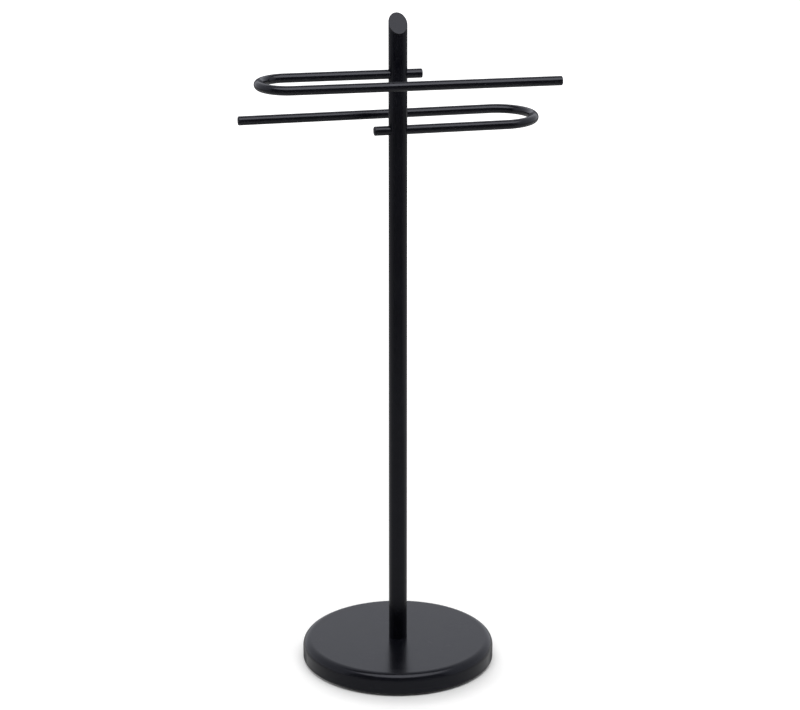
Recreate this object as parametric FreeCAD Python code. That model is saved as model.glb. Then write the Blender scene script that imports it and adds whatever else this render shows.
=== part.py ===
# Freestanding towel stand: weighted round base, slant-topped post and two
# U-shaped rails.  Millimetres, Z up.  The origin is on the floor, on the
# centre line of the post.  The slanted top faces -Y, the front of the stand.
import FreeCAD, Part
import math
import os

Vec = FreeCAD.Vector

# post
POST_OD = 25.4            # outside of the tube
POST_WALL = 1.5
POST_TOP_Z = 916.0        # middle of the slanted end, on the centre line
CUT_ANGLE = 45.0          # slope of the slanted end
CAP_THICKNESS = 2.0       # cap plate, measured square to the slope
CAP_PLUG_DEPTH = 6.0      # part of the cap that sits inside the tube
CAP_EDGE_ROUND = 0.6

# base
BASE_R = 135.0            # outside of the pressed cover
BASE_H = 31.5             # floor to top face
EDGE_R = 11.5             # large round on the top edge
COVER_SHEET = 1.2
COVER_LIFT = 3.0          # floor to the folded hem
HEM_WIDTH = 8.0           # hem folded in under the bottom plate
HEM_R = 1.8
PLATE_SHEET = 1.0
PLATE_HOLE_R = 18.0
SEAT_R = 40.0
SEAT_SHEET = 2.0
RING_SETBACK = 17.0       # outside of the base to the non-slip ring
RING_WIDTH = 20.0
RING_EDGE_ROUND = 0.6

# rails
ROD_D = 12.7
ROD_CHAMFER = 1.0
STUB_LENGTH = 32.8        # centre line of the post to the short end
UPPER_BELOW_TOP = 69.4    # middle of the slanted end to the upper rail
UPPER_BEND_R = 39.2
UPPER_BEND_X = 152.5      # centre line of the post to the start of the bend
UPPER_LONG_END = 206.1
UPPER_TURN = -1.15        # degrees off square, seen from above
LOWER_BELOW_UPPER = 76.6
LOWER_BEND_R = 49.3
LOWER_BEND_X = 151.0
LOWER_LONG_END = 201.2
LOWER_TURN = 1.15

# fixings
BOLT_D = 10.0
BOLT_LENGTH = 30.0
BOLT_HEAD_AF = 17.0
BOLT_HEAD_H = 6.4
WASHER_R = 15.0
WASHER_T = 2.5
SPRING_R = 9.0
SPRING_T = 2.6
SPRING_SPLIT = 0.8
POCKET_TOP_Z = 20.0       # roof of the bolt pocket in the weight
PLUG_LENGTH = 20.0
SET_SCREW_D = 5.0
SET_SCREW_LENGTH = 10.0
SET_SCREW_SINK = 0.3      # outer end below the surface of the post
SET_SCREW_SOCKET_AF = 2.5
SET_SCREW_SOCKET_DEPTH = 2.5

# clearances
FIT = 0.1                 # round parts that slip into each other
HOLE_FIT = 0.2            # post wall round each rail

POST_R = POST_OD / 2
BORE_R = POST_R - POST_WALL
ROD_R = ROD_D / 2
COVER_INNER_R = BASE_R - COVER_SHEET
COVER_INNER_TOP = BASE_H - COVER_SHEET
PLATE_Z = COVER_LIFT + COVER_SHEET
WEIGHT_Z = PLATE_Z + PLATE_SHEET
SEAT_Z = COVER_INNER_TOP - SEAT_SHEET
RING_OUTER_R = BASE_R - RING_SETBACK
UPPER_Z = POST_TOP_Z - UPPER_BELOW_TOP
LOWER_Z = UPPER_Z - LOWER_BELOW_UPPER


def vertical_cylinder(radius, bottom, top, x=0.0, y=0.0):
    return Part.makeCylinder(radius, top - bottom, Vec(x, y, bottom))


def ring(outer, inner, bottom, top):
    return vertical_cylinder(outer, bottom, top).cut(
        vertical_cylinder(inner, bottom - 1, top + 1))


def quarter_arc(centre_r, centre_z, radius, start_degrees):
    """Quarter circle in the XZ plane, anticlockwise from start_degrees."""
    points = []
    for step in (0.0, 45.0, 90.0):
        angle = math.radians(start_degrees + step)
        points.append(Vec(centre_r + radius * math.cos(angle), 0,
                          centre_z + radius * math.sin(angle)))
    return Part.Arc(*points).toShape()


def line(x0, z0, x1, z1):
    return Part.makeLine(Vec(x0, 0, z0), Vec(x1, 0, z1))


def revolved(edges):
    face = Part.Face(Part.Wire(Part.__sortEdges__(edges)))
    return face.revolve(Vec(0, 0, 0), Vec(0, 0, 1), 360)


def base_cover():
    """Pressed steel cover with a folded hem."""
    hole = POST_R + FIT
    corner_x = BASE_R - EDGE_R
    corner_z = BASE_H - EDGE_R
    inner_r = EDGE_R - COVER_SHEET
    hem_x = BASE_R - HEM_R
    hem_z = COVER_LIFT + HEM_R
    hem_inner = HEM_R - COVER_SHEET
    hem_end = BASE_R - HEM_WIDTH
    return revolved([
        line(hole, BASE_H, corner_x, BASE_H),
        quarter_arc(corner_x, corner_z, EDGE_R, 0),
        line(BASE_R, corner_z, BASE_R, hem_z),
        quarter_arc(hem_x, hem_z, HEM_R, 270),
        line(hem_x, COVER_LIFT, hem_end, COVER_LIFT),
        line(hem_end, COVER_LIFT, hem_end, PLATE_Z),
        line(hem_end, PLATE_Z, hem_x, PLATE_Z),
        quarter_arc(hem_x, hem_z, hem_inner, 270),
        line(COVER_INNER_R, hem_z, COVER_INNER_R, corner_z),
        quarter_arc(corner_x, corner_z, inner_r, 0),
        line(corner_x, COVER_INNER_TOP, hole, COVER_INNER_TOP),
        line(hole, COVER_INNER_TOP, hole, BASE_H)])


def base_weight():
    """Cast filling of the cover, with a pocket for the bolt head."""
    outer = COVER_INNER_R - FIT
    top = COVER_INNER_TOP - FIT
    corner = EDGE_R - COVER_SHEET
    body = revolved([
        line(0, WEIGHT_Z, outer, WEIGHT_Z),
        line(outer, WEIGHT_Z, outer, top - corner),
        quarter_arc(outer - corner, top - corner, corner, 0),
        line(outer - corner, top, 0, top),
        line(0, top, 0, WEIGHT_Z)])
    body = body.cut(vertical_cylinder(PLATE_HOLE_R, 0, POCKET_TOP_Z))
    body = body.cut(vertical_cylinder(BOLT_D / 2 + 0.5, 0, BASE_H))
    return body.cut(vertical_cylinder(SEAT_R + FIT, SEAT_Z, BASE_H))


def base_bottom_plate():
    return ring(COVER_INNER_R - 2 * FIT, PLATE_HOLE_R,
                PLATE_Z, WEIGHT_Z)


def post_seat_plate():
    """Steel disc under the cover that carries the end of the post."""
    return ring(SEAT_R, BOLT_D / 2 + 0.25, SEAT_Z, COVER_INNER_TOP)


def non_slip_ring():
    """Rubber ring stuck under the bottom plate; the stand rests on it."""
    pad = ring(RING_OUTER_R, RING_OUTER_R - RING_WIDTH, 0, PLATE_Z)
    lower_edges = [edge for edge in pad.Edges if edge.BoundBox.ZMax < 0.001]
    return pad.makeFillet(RING_EDGE_ROUND, lower_edges)


def above_slope(shift):
    """Everything above the slanted end, moved shift mm along its normal."""
    size = 400.0
    block = Part.makeBox(size, size, size, Vec(-size / 2, -size / 2, 0))
    block.rotate(Vec(0, 0, 0), Vec(1, 0, 0), CUT_ANGLE)
    slope = math.radians(CUT_ANGLE)
    block.translate(Vec(0, -shift * math.sin(slope),
                        POST_TOP_Z + shift * math.cos(slope)))
    return block


def below_slope(radius, bottom, shift):
    tall = vertical_cylinder(radius, bottom, POST_TOP_Z + 3 * POST_OD)
    return tall.cut(above_slope(shift))


def rail_hole(radius, height, turn):
    hole = Part.makeCylinder(radius, 3 * POST_OD,
                             Vec(-1.5 * POST_OD, 0, height), Vec(1, 0, 0))
    hole.rotate(Vec(0, 0, 0), Vec(0, 0, 1), turn)
    return hole


def from_behind(radius, near, far, height):
    """Round bar along Y between two distances behind the centre line."""
    return Part.makeCylinder(radius, far - near, Vec(0, near, height),
                             Vec(0, 1, 0))


def post_tube():
    tube = below_slope(POST_R, COVER_INNER_TOP, -CAP_THICKNESS)
    tube = tube.cut(vertical_cylinder(BORE_R, 0, POST_TOP_Z + 3 * POST_OD))
    for height, turn in ((UPPER_Z, UPPER_TURN), (LOWER_Z, LOWER_TURN)):
        tube = tube.cut(rail_hole(ROD_R + HOLE_FIT / 2, height, turn))
        tube = tube.cut(from_behind(SET_SCREW_D / 2 + FIT, 0, POST_R + 5,
                                    height))
    return tube


def post_top_cap():
    plate = below_slope(POST_R, POST_TOP_Z - 2 * POST_OD, 0)
    plate = plate.common(above_slope(-CAP_THICKNESS))
    rim = [edge for edge in plate.Edges
           if edge.BoundBox.ZMax > POST_TOP_Z + POST_R - 0.5]
    plate = plate.makeFillet(CAP_EDGE_ROUND, rim)
    plug = below_slope(BORE_R - FIT / 2, POST_TOP_Z - 2 * POST_OD,
                       -CAP_THICKNESS)
    plug = plug.common(above_slope(-CAP_THICKNESS - CAP_PLUG_DEPTH))
    return plate.fuse(plug).removeSplitter()


def post_foot_plug():
    return ring(BORE_R - FIT / 2, BOLT_D / 2 + FIT / 2,
                COVER_INNER_TOP, COVER_INNER_TOP + PLUG_LENGTH)


def rail(height, turn, side, bend_r, bend_x, long_end):
    """Rod bent to a U lying flat; side is +1 with the bend towards +X.

    The short arm goes through the centre of the post.  The long arm lies in
    front of the post when the bend is on the left and behind it otherwise.
    """
    bend = side * bend_x
    far = side * 2 * bend_r
    short_end = Vec(-side * STUB_LENGTH, 0, 0)
    path = Part.Wire([
        Part.makeLine(short_end, Vec(bend, 0, 0)),
        Part.Arc(Vec(bend, 0, 0), Vec(bend + side * bend_r, far / 2, 0),
                 Vec(bend, far, 0)).toShape(),
        Part.makeLine(Vec(bend, far, 0), Vec(-side * long_end, far, 0))])
    section = Part.Wire(Part.makeCircle(ROD_R, short_end, Vec(1, 0, 0)))
    rod = path.makePipeShell([section], True, False)
    ends = [edge for edge in rod.Edges
            if abs(edge.Length - 2 * math.pi * ROD_R) < 0.01
            and edge.BoundBox.XLength < 0.01
            and (abs(edge.BoundBox.XMin - short_end.x) < 0.01
                 or abs(edge.BoundBox.XMin + side * long_end) < 0.01)]
    rod = rod.makeChamfer(ROD_CHAMFER, ends)
    rod.translate(Vec(0, 0, height))
    rod.rotate(Vec(0, 0, 0), Vec(0, 0, 1), turn)
    hole_end = POST_R - SET_SCREW_SINK - SET_SCREW_LENGTH - 0.5
    return rod.cut(from_behind(SET_SCREW_D / 2 + FIT / 2, hole_end,
                               POST_R, height))


def upper_rail():
    return rail(UPPER_Z, UPPER_TURN, -1, UPPER_BEND_R, UPPER_BEND_X,
                UPPER_LONG_END)


def lower_rail():
    return rail(LOWER_Z, LOWER_TURN, 1, LOWER_BEND_R, LOWER_BEND_X,
                LOWER_LONG_END)


def hexagon(across_flats, bottom, top):
    radius = across_flats / math.sqrt(3)
    corners = []
    for index in range(7):
        angle = math.radians(60 * index)
        corners.append(Vec(radius * math.cos(angle),
                           radius * math.sin(angle), bottom))
    face = Part.Face(Part.makePolygon(corners))
    return face.extrude(Vec(0, 0, top - bottom))


def set_screw(height):
    """Socket set screw behind the post, threaded into the rod."""
    outer = POST_R - SET_SCREW_SINK
    screw = from_behind(SET_SCREW_D / 2, outer - SET_SCREW_LENGTH, outer,
                        height)
    screw = screw.makeChamfer(0.4, [edge for edge in screw.Edges
                                    if edge.BoundBox.YLength < 0.001])
    socket = hexagon(SET_SCREW_SOCKET_AF, 0, SET_SCREW_SOCKET_DEPTH + 1)
    socket.rotate(Vec(0, 0, 0), Vec(1, 0, 0), -90)
    socket.translate(Vec(0, outer - SET_SCREW_SOCKET_DEPTH, height))
    return screw.cut(socket)


def rail_set_screws():
    return Part.makeCompound([set_screw(UPPER_Z), set_screw(LOWER_Z)])


def base_bolt():
    """Hex bolt driven from under the base; thread drawn plain."""
    under_head = POCKET_TOP_Z - WASHER_T - SPRING_T
    head = hexagon(BOLT_HEAD_AF, under_head - BOLT_HEAD_H, under_head)
    cone_top = BOLT_HEAD_AF / 2 * 0.95
    trim = Part.makeCone(cone_top, cone_top + 2 * BOLT_HEAD_H,
                         BOLT_HEAD_H, Vec(0, 0, under_head - BOLT_HEAD_H))
    shank = vertical_cylinder(BOLT_D / 2, under_head,
                              under_head + BOLT_LENGTH)
    tip = [edge for edge in shank.Edges
           if edge.BoundBox.ZMin > under_head + BOLT_LENGTH - 0.001]
    return head.common(trim).fuse(shank.makeChamfer(1.0, tip))


def base_flat_washer():
    return ring(WASHER_R, BOLT_D / 2 + 0.25, POCKET_TOP_Z - WASHER_T,
                POCKET_TOP_Z)


def base_spring_washer():
    """Split washer, drawn flat as it is when tightened."""
    top = POCKET_TOP_Z - WASHER_T
    washer = ring(SPRING_R, BOLT_D / 2 + 0.1, top - SPRING_T, top)
    split = Part.makeBox(SPRING_R * 2, SPRING_SPLIT, SPRING_T * 3,
                         Vec(0, -SPRING_SPLIT / 2, top - 2 * SPRING_T))
    split.rotate(Vec(0, 0, top - SPRING_T / 2), Vec(1, 0, 0), 20)
    return washer.cut(split)


NODES = {
    "base_cover": base_cover,
    "base_weight": base_weight,
    "base_bottom_plate": base_bottom_plate,
    "non_slip_ring": non_slip_ring,
    "post_seat_plate": post_seat_plate,
    "post_tube": post_tube,
    "post_top_cap": post_top_cap,
    "post_foot_plug": post_foot_plug,
    "upper_rail": upper_rail,
    "lower_rail": lower_rail,
    "rail_set_screws": rail_set_screws,
    "base_bolt": base_bolt,
    "base_flat_washer": base_flat_washer,
    "base_spring_washer": base_spring_washer,
}

os.makedirs("parts", exist_ok=True)
for name, make in NODES.items():
    shape = make()
    shape.exportStep(os.path.join("parts", name + ".step"))
    print(name, "valid", shape.isValid(), "solids", len(shape.Solids),
          "volume %.1f" % shape.Volume)
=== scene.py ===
import math

import bmesh
import bpy
from bpy.props import FloatProperty, FloatVectorProperty, IntProperty, PointerProperty
from mathutils import Matrix, Vector


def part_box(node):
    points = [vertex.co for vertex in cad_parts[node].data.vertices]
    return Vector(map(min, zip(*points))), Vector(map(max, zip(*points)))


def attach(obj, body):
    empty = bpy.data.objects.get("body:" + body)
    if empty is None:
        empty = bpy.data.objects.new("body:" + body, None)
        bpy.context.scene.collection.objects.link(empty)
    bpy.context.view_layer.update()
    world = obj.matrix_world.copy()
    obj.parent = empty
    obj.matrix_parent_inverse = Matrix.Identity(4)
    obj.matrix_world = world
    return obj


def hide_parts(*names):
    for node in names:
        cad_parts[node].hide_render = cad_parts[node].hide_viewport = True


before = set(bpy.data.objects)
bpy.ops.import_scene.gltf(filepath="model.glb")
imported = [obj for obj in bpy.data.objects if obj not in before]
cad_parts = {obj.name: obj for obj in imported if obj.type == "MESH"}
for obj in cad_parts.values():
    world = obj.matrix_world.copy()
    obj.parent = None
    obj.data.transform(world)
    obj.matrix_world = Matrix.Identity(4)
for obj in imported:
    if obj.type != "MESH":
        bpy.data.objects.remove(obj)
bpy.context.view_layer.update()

bl_info = {
    "name": "Freestanding Towel Stand",
    "version": (1, 0, 0),
    "blender": (4, 5, 0),
    "location": "3D View > Sidebar > Towel Stand",
    "description": "A weighted round base, a slant-topped post and two U-shaped rails",
    "category": "Object",
}

BODY = "root"

MM = 0.001
SEW = 0.002 * MM         # points of a skin this close together become one
SEW_ROD = 0.005 * MM     # the same for a swept rod
COVER_LOW, COVER_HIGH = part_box("base_cover")
PLATE_LOW, PLATE_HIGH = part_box("base_bottom_plate")
RING_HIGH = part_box("non_slip_ring")[1]
TUBE_LOW, TUBE_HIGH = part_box("post_tube")
UPPER_LOW, UPPER_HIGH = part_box("upper_rail")
LOWER_LOW, LOWER_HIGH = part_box("lower_rail")
SCREWS_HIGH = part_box("rail_set_screws")[1]


def length(name, description, default):
    """A size in metres that a user can change."""
    return FloatProperty(name=name, description=description, default=default,
                         min=0.0, unit="LENGTH", subtype="DISTANCE")


def turn(name, description, degrees):
    return FloatProperty(name=name, description=description,
                         default=math.radians(degrees),
                         unit="ROTATION", subtype="ANGLE")


def spot(name, description, default):
    """A place in the shared frame, in metres."""
    return FloatVectorProperty(name=name, description=description, default=default,
                               size=3, unit="LENGTH", subtype="TRANSLATION")


def count(name, description, default, least, most):
    return IntProperty(name=name, description=description, default=default,
                       min=least, max=most)


def number(name, description, default):
    return FloatProperty(name=name, description=description, default=default)


def share(name, description, default):
    return FloatProperty(name=name, description=description, default=default,
                         min=0.0, max=1.0, subtype="FACTOR")


def colour(name, description, default):
    return FloatVectorProperty(name=name, description=description, default=default,
                               size=3, min=0.0, max=1.0, subtype="COLOR")


# ---------------------------------------------------------------- settings

class PostSettings(bpy.types.PropertyGroup):
    outer_radius: length("Tube radius", "Outside radius of the post", TUBE_HIGH.x)
    wall: length("Tube wall", "Thickness of the tube wall", 1.5 * MM)
    foot_z: length("Foot height", "Lower end of the tube above the floor", TUBE_LOW.z)
    top_z: length("Top height", "Middle of the slanted end above the floor", 916.0 * MM)
    slope: turn("Slope", "Slope of the slanted end, which faces the front", 45.0)
    cap_thickness: length("Cap thickness", "Plate that closes the slanted end", 2.0 * MM)
    cap_plug: length("Cap plug", "Part of the cap inside the tube", 6.0 * MM)
    cap_round: length("Cap edge round", "Round on the rim of the cap", 1.0 * MM)
    hole_gap: length("Hole gap", "Gap between a rail and its hole", 0.1 * MM)
    hole_round: length("Hole edge round", "Round on the rim of each hole", 0.45 * MM)
    plug_gap: length("Plug gap", "Gap between the cap's plug and the tube", 0.05 * MM)
    columns: count("Columns", "Faces along a quarter of the tube", 16, 8, 64)


class RailSettings(bpy.types.PropertyGroup):
    rod_radius: length("Rod radius", "Radius of the bent rod",
                       (UPPER_HIGH.z - UPPER_LOW.z) / 2)
    stub: length("Stub", "Middle of the post to the short end", 32.8 * MM)
    chamfer: length("End chamfer", "Chamfer on each end of the rod", 1.0 * MM)
    upper_z: length("Upper height", "Middle of the upper rail above the floor",
                    (UPPER_HIGH.z + UPPER_LOW.z) / 2)
    upper_bend_radius: length("Upper bend", "Radius of the upper rail's bend", 39.2 * MM)
    upper_bend_start: length("Upper arm", "Middle of the post to the bend", 152.5 * MM)
    upper_long_end: length("Upper long end", "Middle of the post to the long end", 206.1 * MM)
    upper_turn: turn("Upper turn", "How far the upper rail is off square", -1.15)
    lower_z: length("Lower height", "Middle of the lower rail above the floor",
                    (LOWER_HIGH.z + LOWER_LOW.z) / 2)
    lower_bend_radius: length("Lower bend", "Radius of the lower rail's bend", 49.3 * MM)
    lower_bend_start: length("Lower arm", "Middle of the post to the bend", 151.0 * MM)
    lower_long_end: length("Lower long end", "Middle of the post to the long end", 201.2 * MM)
    lower_turn: turn("Lower turn", "How far the lower rail is off square", 1.15)
    sides: count("Sides", "Faces round the rod", 56, 16, 128)
    bend_steps: count("Bend steps", "Faces along each quarter bend", 48, 8, 128)


class BaseSettings(bpy.types.PropertyGroup):
    radius: length("Base radius", "Outside radius of the cover", COVER_HIGH.x)
    height: length("Base height", "Floor to the top face", COVER_HIGH.z)
    lift: length("Lift", "Floor to the folded hem", COVER_LOW.z)
    edge_round: length("Edge round", "Large round on the top edge", 11.5 * MM)
    sheet: length("Sheet", "Thickness of the pressed cover", 1.2 * MM)
    hem_width: length("Hem width", "Hem folded in under the bottom plate", 8.0 * MM)
    hem_round: length("Hem round", "Outside radius of the fold", 1.8 * MM)
    post_gap: length("Post gap", "Gap between the cover and the post", 0.1 * MM)
    collar: length("Collar", "Width of the ring of faces round the post", 30.0 * MM)
    plate_hole: length("Plate hole", "Radius of the spanner hole in the plate", 18.0 * MM)
    ring_width: length("Ring width", "Width of the non-slip ring", 20.0 * MM)
    ring_ribs: count("Ring ribs", "Ribs under the non-slip ring", 4, 1, 12)
    rib_half: share("Rib half", "Half a rib's width as a share of the rib spacing", 0.36)
    rib_round: length("Rib round", "Round on the edges of each rib", 0.6 * MM)
    rib_depth: length("Rib depth", "Depth of the grooves between the ribs", 0.8 * MM)
    steps: count("Steps", "Faces round the base", 192, 32, 512)


class FixingSettings(bpy.types.PropertyGroup):
    screw_radius: length("Screw radius", "Radius of each set screw", 2.5 * MM)
    screw_length: length("Screw length", "Length of each set screw", 10.0 * MM)
    screw_end: length("Screw end", "Middle of the post to the screw's outer end",
                      SCREWS_HIGH.y)
    screw_chamfer: length("Screw chamfer", "Chamfer on the ends of each screw", 0.4 * MM)
    socket_flats: length("Socket", "Hexagon socket across its flats", 2.5 * MM)
    socket_depth: length("Socket depth", "Depth of the hexagon socket", 2.5 * MM)
    mouth_flare: number("Mouth flare", "Socket's mouth as a share of the socket", 1.08)
    mouth_depth: length("Mouth depth", "Depth of the flared mouth", 0.12 * MM)
    tip_depth: length("Tip depth", "Depth of the drill's cone below the socket", 0.5 * MM)


class FinishSettings(bpy.types.PropertyGroup):
    # The trace of blue in the coat is partly its own colour and partly painted, standing in for
    # the cool tint of its gloss.
    coat: colour("Coat", "Colour of the powder coat", (0.0015, 0.0016, 0.0030))
    # Lighter and bluer than the coat: partly the coat's own colour, partly a painted trace of
    # the cool reflection on the base's top.
    cover_coat_and_painted_reflection: colour("Cover coat", "Colour of the coat on the base", (0.0021, 0.0023, 0.0040))
    coat_tint: colour("Coat tint", "Tint of the coat's gloss", (0.90, 0.91, 1.0))
    post_index: number("Post index", "Refractive index of the coat on the post", 1.285)
    rail_index: number("Rail index", "Refractive index of the coat on the rails", 1.35)
    cover_index: number("Cover index", "Refractive index of the coat on the base", 1.295)
    coat_roughness: share("Coat roughness", "Satin of the powder coat", 0.22)
    tube_haze: share("Tube haze", "Roughness of the post and rails seen at a shallow angle",
                     0.85)
    cover_haze: share("Cover haze", "Roughness of the base seen at a shallow angle", 0.50)
    haze_start: share("Haze start", "How far a face turns away before it is hazy", 0.71)
    haze_whole: share("Haze whole", "How far a face turns away until it is all hazy", 0.84)
    peel_size: length("Orange peel", "Distance between the waves of the coat", 1.6 * MM)
    peel_depth: share("Peel depth", "Strength of the orange peel", 0.10)
    edge_wear: share("Edge wear", "Thin coat along the edges", 0.35)
    worn_coat: colour("Worn coat", "Colour where the coat is thin", (0.050, 0.050, 0.054))
    worn_roughness: share("Worn roughness", "Roughness where the coat is thin", 0.42)
    dust: share("Dust", "Fine dust on the faces that look up", 0.02)
    dust_colour: colour("Dust colour", "Colour of the dust", (0.30, 0.29, 0.28))
    dust_roughness: share("Dust roughness", "Roughness where dust lies", 0.80)
    rubber: colour("Rubber", "Colour of the non-slip ring", (0.020, 0.020, 0.021))
    zinc: colour("Zinc", "Colour of the zinc plating", (0.55, 0.56, 0.58))
    steel: colour("Steel", "Colour of the plain steel", (0.45, 0.45, 0.46))
    black_steel: colour("Blackened steel", "Colour of the set screws", (0.06, 0.06, 0.065))
    filling: colour("Filling", "Colour of the cast filling", (0.42, 0.41, 0.39))


class StageSettings(bpy.types.PropertyGroup):
    camera_distance: length("Camera distance", "Post to camera along the floor", 3.5079)
    camera_height: length("Camera height", "Camera above the floor", 1.5999)
    camera_side: turn("Camera side", "Camera's way round to the left", 11.115)
    camera_tilt: turn("Camera tilt", "Camera tilted down", 18.11)
    lens: number("Lens", "Focal length in millimetres", 120.56)
    shift: number("Shift", "Sideways shift of the lens", 0.0026)
    floor_colour: colour("Floor colour", "Plain pale floor", (0.80, 0.80, 0.80))
    floor_size: length("Floor size", "Radius of the floor", 6.0)
    floor_drop: length("Floor drop", "How far the floor lies below the stand", 0.2 * MM)
    # Painted shadow on the floor: no glow near the stand, centred a little in front of the
    # post, fading in to the full lift.
    near_glow: share("Near glow", "Lift of the floor beside the stand", 0.32)
    painted_shadow_ahead: length("Fade ahead", "Middle of the lift, in front of the post", 0.036)
    painted_shadow_fade_start: length("Fade start", "Where the lift of the floor starts", 0.094)
    painted_shadow_fade_end: length("Fade end", "Where the lift of the floor is whole", 0.158)
    world_level: share("World level", "Soft light from all round", 0.40)
    gloss_tint: colour("Gloss tint", "Colour of the white surroundings as they show in gloss",
                       (0.905, 0.925, 1.0))
    gloss_level: number("Gloss level", "Brightness of the surroundings in gloss", 1.14)
    softbox_width: length("Softbox width", "Width of the lamp overhead", 3.4)
    softbox_depth: length("Softbox depth", "Depth of the lamp overhead", 2.1)
    softbox_power: number("Softbox power", "Power in watts", 70.0)
    softbox_spot: spot("Softbox place", "Middle of the lamp overhead", (0.0, -0.96, 2.49))
    strip_depth: length("Strip depth", "Depth of the lamp in front of the softbox", 0.5)
    strip_power: number("Strip power", "Power in watts", 7.0)
    strip_spot: spot("Strip place", "Middle of the front lamp", (0.0, -1.42, 2.22))
    strip_aim: spot("Strip aim", "Point that the front lamp faces", (0.0, 0.0, 0.5))
    screen_reach: length("Screen reach", "Post to the dark screen in front", 1.4)
    screen_height: length("Screen height", "Height of the dark screen", 1.8)
    screen_spread: turn("Screen spread", "Half the arc of the dark screen", 60.0)
    screen_turn: turn("Screen turn", "Screen turned round towards the right", -11.0)
    screen_colour: colour("Screen colour", "Colour of the dark screen", (0.08, 0.08, 0.08))
    screen_foot: colour("Screen foot", "Colour of the screen near the floor", (0.6, 0.6, 0.6))
    foot_start: length("Foot start", "Height where the screen starts to darken", 0.1)
    foot_end: length("Foot end", "Height where the screen is at its darkest", 1.2)
    ceiling_height: length("Ceiling height", "Height of the dark board overhead", 2.9)
    ceiling_start: length("Ceiling start", "Post to the dark board's front edge", 0.05)
    ceiling_depth: length("Ceiling depth", "Post to the dark board's back edge", 1.2)
    ceiling_half: length("Ceiling half", "Half the width of the dark board", 1.5)


class StandSettings(bpy.types.PropertyGroup):
    post: PointerProperty(type=PostSettings)
    rails: PointerProperty(type=RailSettings)
    base: PointerProperty(type=BaseSettings)
    fixings: PointerProperty(type=FixingSettings)
    finish: PointerProperty(type=FinishSettings)
    stage: PointerProperty(type=StageSettings)


def settings():
    return bpy.context.scene.towel_stand


# ---------------------------------------------------------------- node helpers

def wire(tree, sockets, values):
    """Feeds sockets, found by name or number, with constants or other sockets."""
    for key, value in values.items():
        if isinstance(value, bpy.types.NodeSocket):
            tree.links.new(value, sockets[key])
        else:
            sockets[key].default_value = value


def place(tree, kind, feeds=None, **options):
    """Adds a node, sets its options and feeds its inputs."""
    node = tree.nodes.new(kind)
    for name, value in options.items():
        setattr(node, name, value)
    wire(tree, node.inputs, feeds or {})
    return node


def math_of(tree, operation, first, second, clamp=False):
    return place(tree, "ShaderNodeMath", {0: first, 1: second},
                 operation=operation, use_clamp=clamp).outputs[0]


def spread(tree, value, low, high, to_low=0.0, to_high=1.0):
    """Maps a value smoothly from one range to another."""
    return place(tree, "ShaderNodeMapRange",
                 {"Value": value, "From Min": low, "From Max": high,
                  "To Min": to_low, "To Max": to_high},
                 interpolation_type="SMOOTHSTEP").outputs["Result"]


def mix_colours(tree, factor, first, second, blend="MIX"):
    return place(tree, "ShaderNodeMix", {"Factor": factor, 6: first, 7: second},
                 data_type="RGBA", blend_type=blend).outputs[2]


def mix_values(tree, factor, first, second):
    return place(tree, "ShaderNodeMix", {"Factor": factor, 2: first, 3: second},
                 data_type="FLOAT").outputs[0]


def own_place(tree):
    """Where a point lies on its piece, in metres."""
    return place(tree, "ShaderNodeTexCoord").outputs["Object"]


def noise(tree, where, scale, detail, roughness=0.5):
    return place(tree, "ShaderNodeTexNoise",
                 {"Vector": where, "Scale": scale, "Detail": detail,
                  "Roughness": roughness}).outputs["Fac"]


def cells(tree, where, scale):
    """Distance and colour of the cells that a surface is broken into."""
    return place(tree, "ShaderNodeTexVoronoi", {"Vector": where, "Scale": scale}).outputs


def opaque(rgb):
    return (rgb[0], rgb[1], rgb[2], 1.0)


def new_group(name, inputs, outputs):
    """Starts a shader node group; each input is (name, type, default)."""
    tree = bpy.data.node_groups.new(name, "ShaderNodeTree")
    for label, kind, default in inputs:
        socket = tree.interface.new_socket(name=label, in_out="INPUT", socket_type=kind)
        socket.default_value = default
    for label, kind in outputs:
        tree.interface.new_socket(name=label, in_out="OUTPUT", socket_type=kind)
    start = tree.nodes.new("NodeGroupInput")
    end = tree.nodes.new("NodeGroupOutput")
    return tree, start.outputs, end.inputs


FLOAT = "NodeSocketFloat"
COLOUR = "NodeSocketColor"
VECTOR = "NodeSocketVector"


def powder_skin_group():
    """Orange peel, fine grain and uneven satin of a baked powder coat."""
    tree, given, made = new_group(
        "Powder Skin",
        [("Colour", COLOUR, (0.01, 0.01, 0.01, 1.0)), ("Roughness", FLOAT, 0.3),
         ("Peel Scale", FLOAT, 600.0), ("Peel Depth", FLOAT, 0.2)],
        [("Colour", COLOUR), ("Roughness", FLOAT), ("Height", FLOAT)])
    where = own_place(tree)
    peel = noise(tree, where, given["Peel Scale"], 2.0, 0.45)
    grain_scale = math_of(tree, "MULTIPLY", given["Peel Scale"], 4.5)
    grain = noise(tree, where, grain_scale, 1.0)
    cloud = noise(tree, where, 22.0, 3.0, 0.6)
    fleck = spread(tree, cells(tree, where, grain_scale)["Distance"], 0.05, 0.16, 1.0, 0.0)
    lift = mix_colours(tree, spread(tree, cloud, 0.35, 0.65), given["Colour"],
                       (1.35, 1.35, 1.32, 1.0), "MULTIPLY")
    uneven = spread(tree, cloud, 0.30, 0.70, -0.030, 0.035)
    fine = spread(tree, grain, 0.30, 0.70, -0.020, 0.020)
    rough = math_of(tree, "ADD", given["Roughness"], uneven)
    waves = math_of(tree, "MULTIPLY", peel, given["Peel Depth"])
    ripple = math_of(tree, "MULTIPLY", grain,
                     math_of(tree, "MULTIPLY", given["Peel Depth"], 0.25))
    wire(tree, made, {
        "Colour": mix_colours(tree, math_of(tree, "MULTIPLY", fleck, 0.06), lift,
                              (0.10, 0.10, 0.11, 1.0)),
        "Roughness": math_of(tree, "ADD", rough, fine, clamp=True),
        "Height": math_of(tree, "ADD", waves, ripple)})
    return tree


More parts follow.
